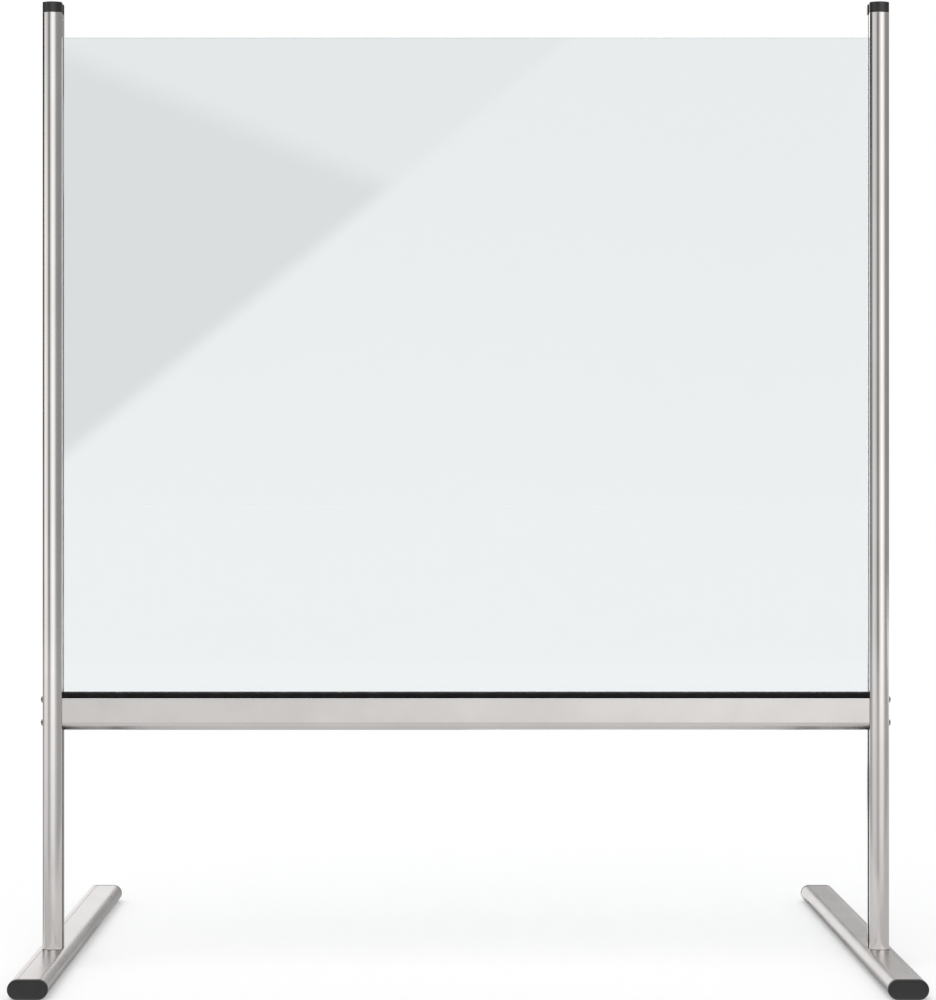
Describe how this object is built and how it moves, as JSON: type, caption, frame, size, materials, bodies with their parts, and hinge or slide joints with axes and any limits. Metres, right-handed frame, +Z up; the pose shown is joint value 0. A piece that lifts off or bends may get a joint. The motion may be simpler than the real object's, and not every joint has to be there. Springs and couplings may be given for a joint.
{
  "type": "acrylic hygiene screen",
  "caption": "Free-standing counter screen: a clear acrylic pane between aluminium posts on oval feet, with a pass-through gap under its crossbar.",
  "frame": {"origin": "centre of the feet's footprint, on the surface that the screen stands on", "axes": "+X to the right seen from the front, +Y to the rear, where the feet reach further, +Z up"},
  "size_m": [0.9, 0.5, 1.005],
  "materials": {
    "anodised_aluminium": "satin silver anodised, fine lengthways drawing lines",
    "black_plastic": "moulded, satin with a fine grain",
    "black_rubber": "extruded, soft satin",
    "clear_acrylic": "clear, polished faces and edges",
    "clear_vinyl": "clear, soft satin",
    "zinc_steel": "bright zinc plate"
  },
  "bodies": {
    "frame": {"left_post": "anodised_aluminium", "left_post_cap": "black_plastic", "left_pane_guide": "clear_vinyl", "left_foot_tube": "anodised_aluminium", "left_foot_front_cap": "black_plastic", "left_foot_rear_cap": "black_plastic", "left_clamp_plate": "zinc_steel", "left_bar_screws": "zinc_steel", "left_foot_screws": "zinc_steel", "right_post": "anodised_aluminium", "right_post_cap": "black_plastic", "right_pane_guide": "clear_vinyl", "right_foot_tube": "anodised_aluminium", "right_foot_front_cap": "black_plastic", "right_foot_rear_cap": "black_plastic", "right_clamp_plate": "zinc_steel", "right_bar_screws": "zinc_steel", "right_foot_screws": "zinc_steel", "crossbar": "anodised_aluminium", "pane_seal": "black_rubber"},
    "pane": {"acrylic_pane": "clear_acrylic"}
  },
  "joints": [
    {"name": "pane_lift", "type": "slide", "parent": "frame", "child": "pane", "axis": [0, 0, 1], "range_m": [0, 0.73]}
  ]
}
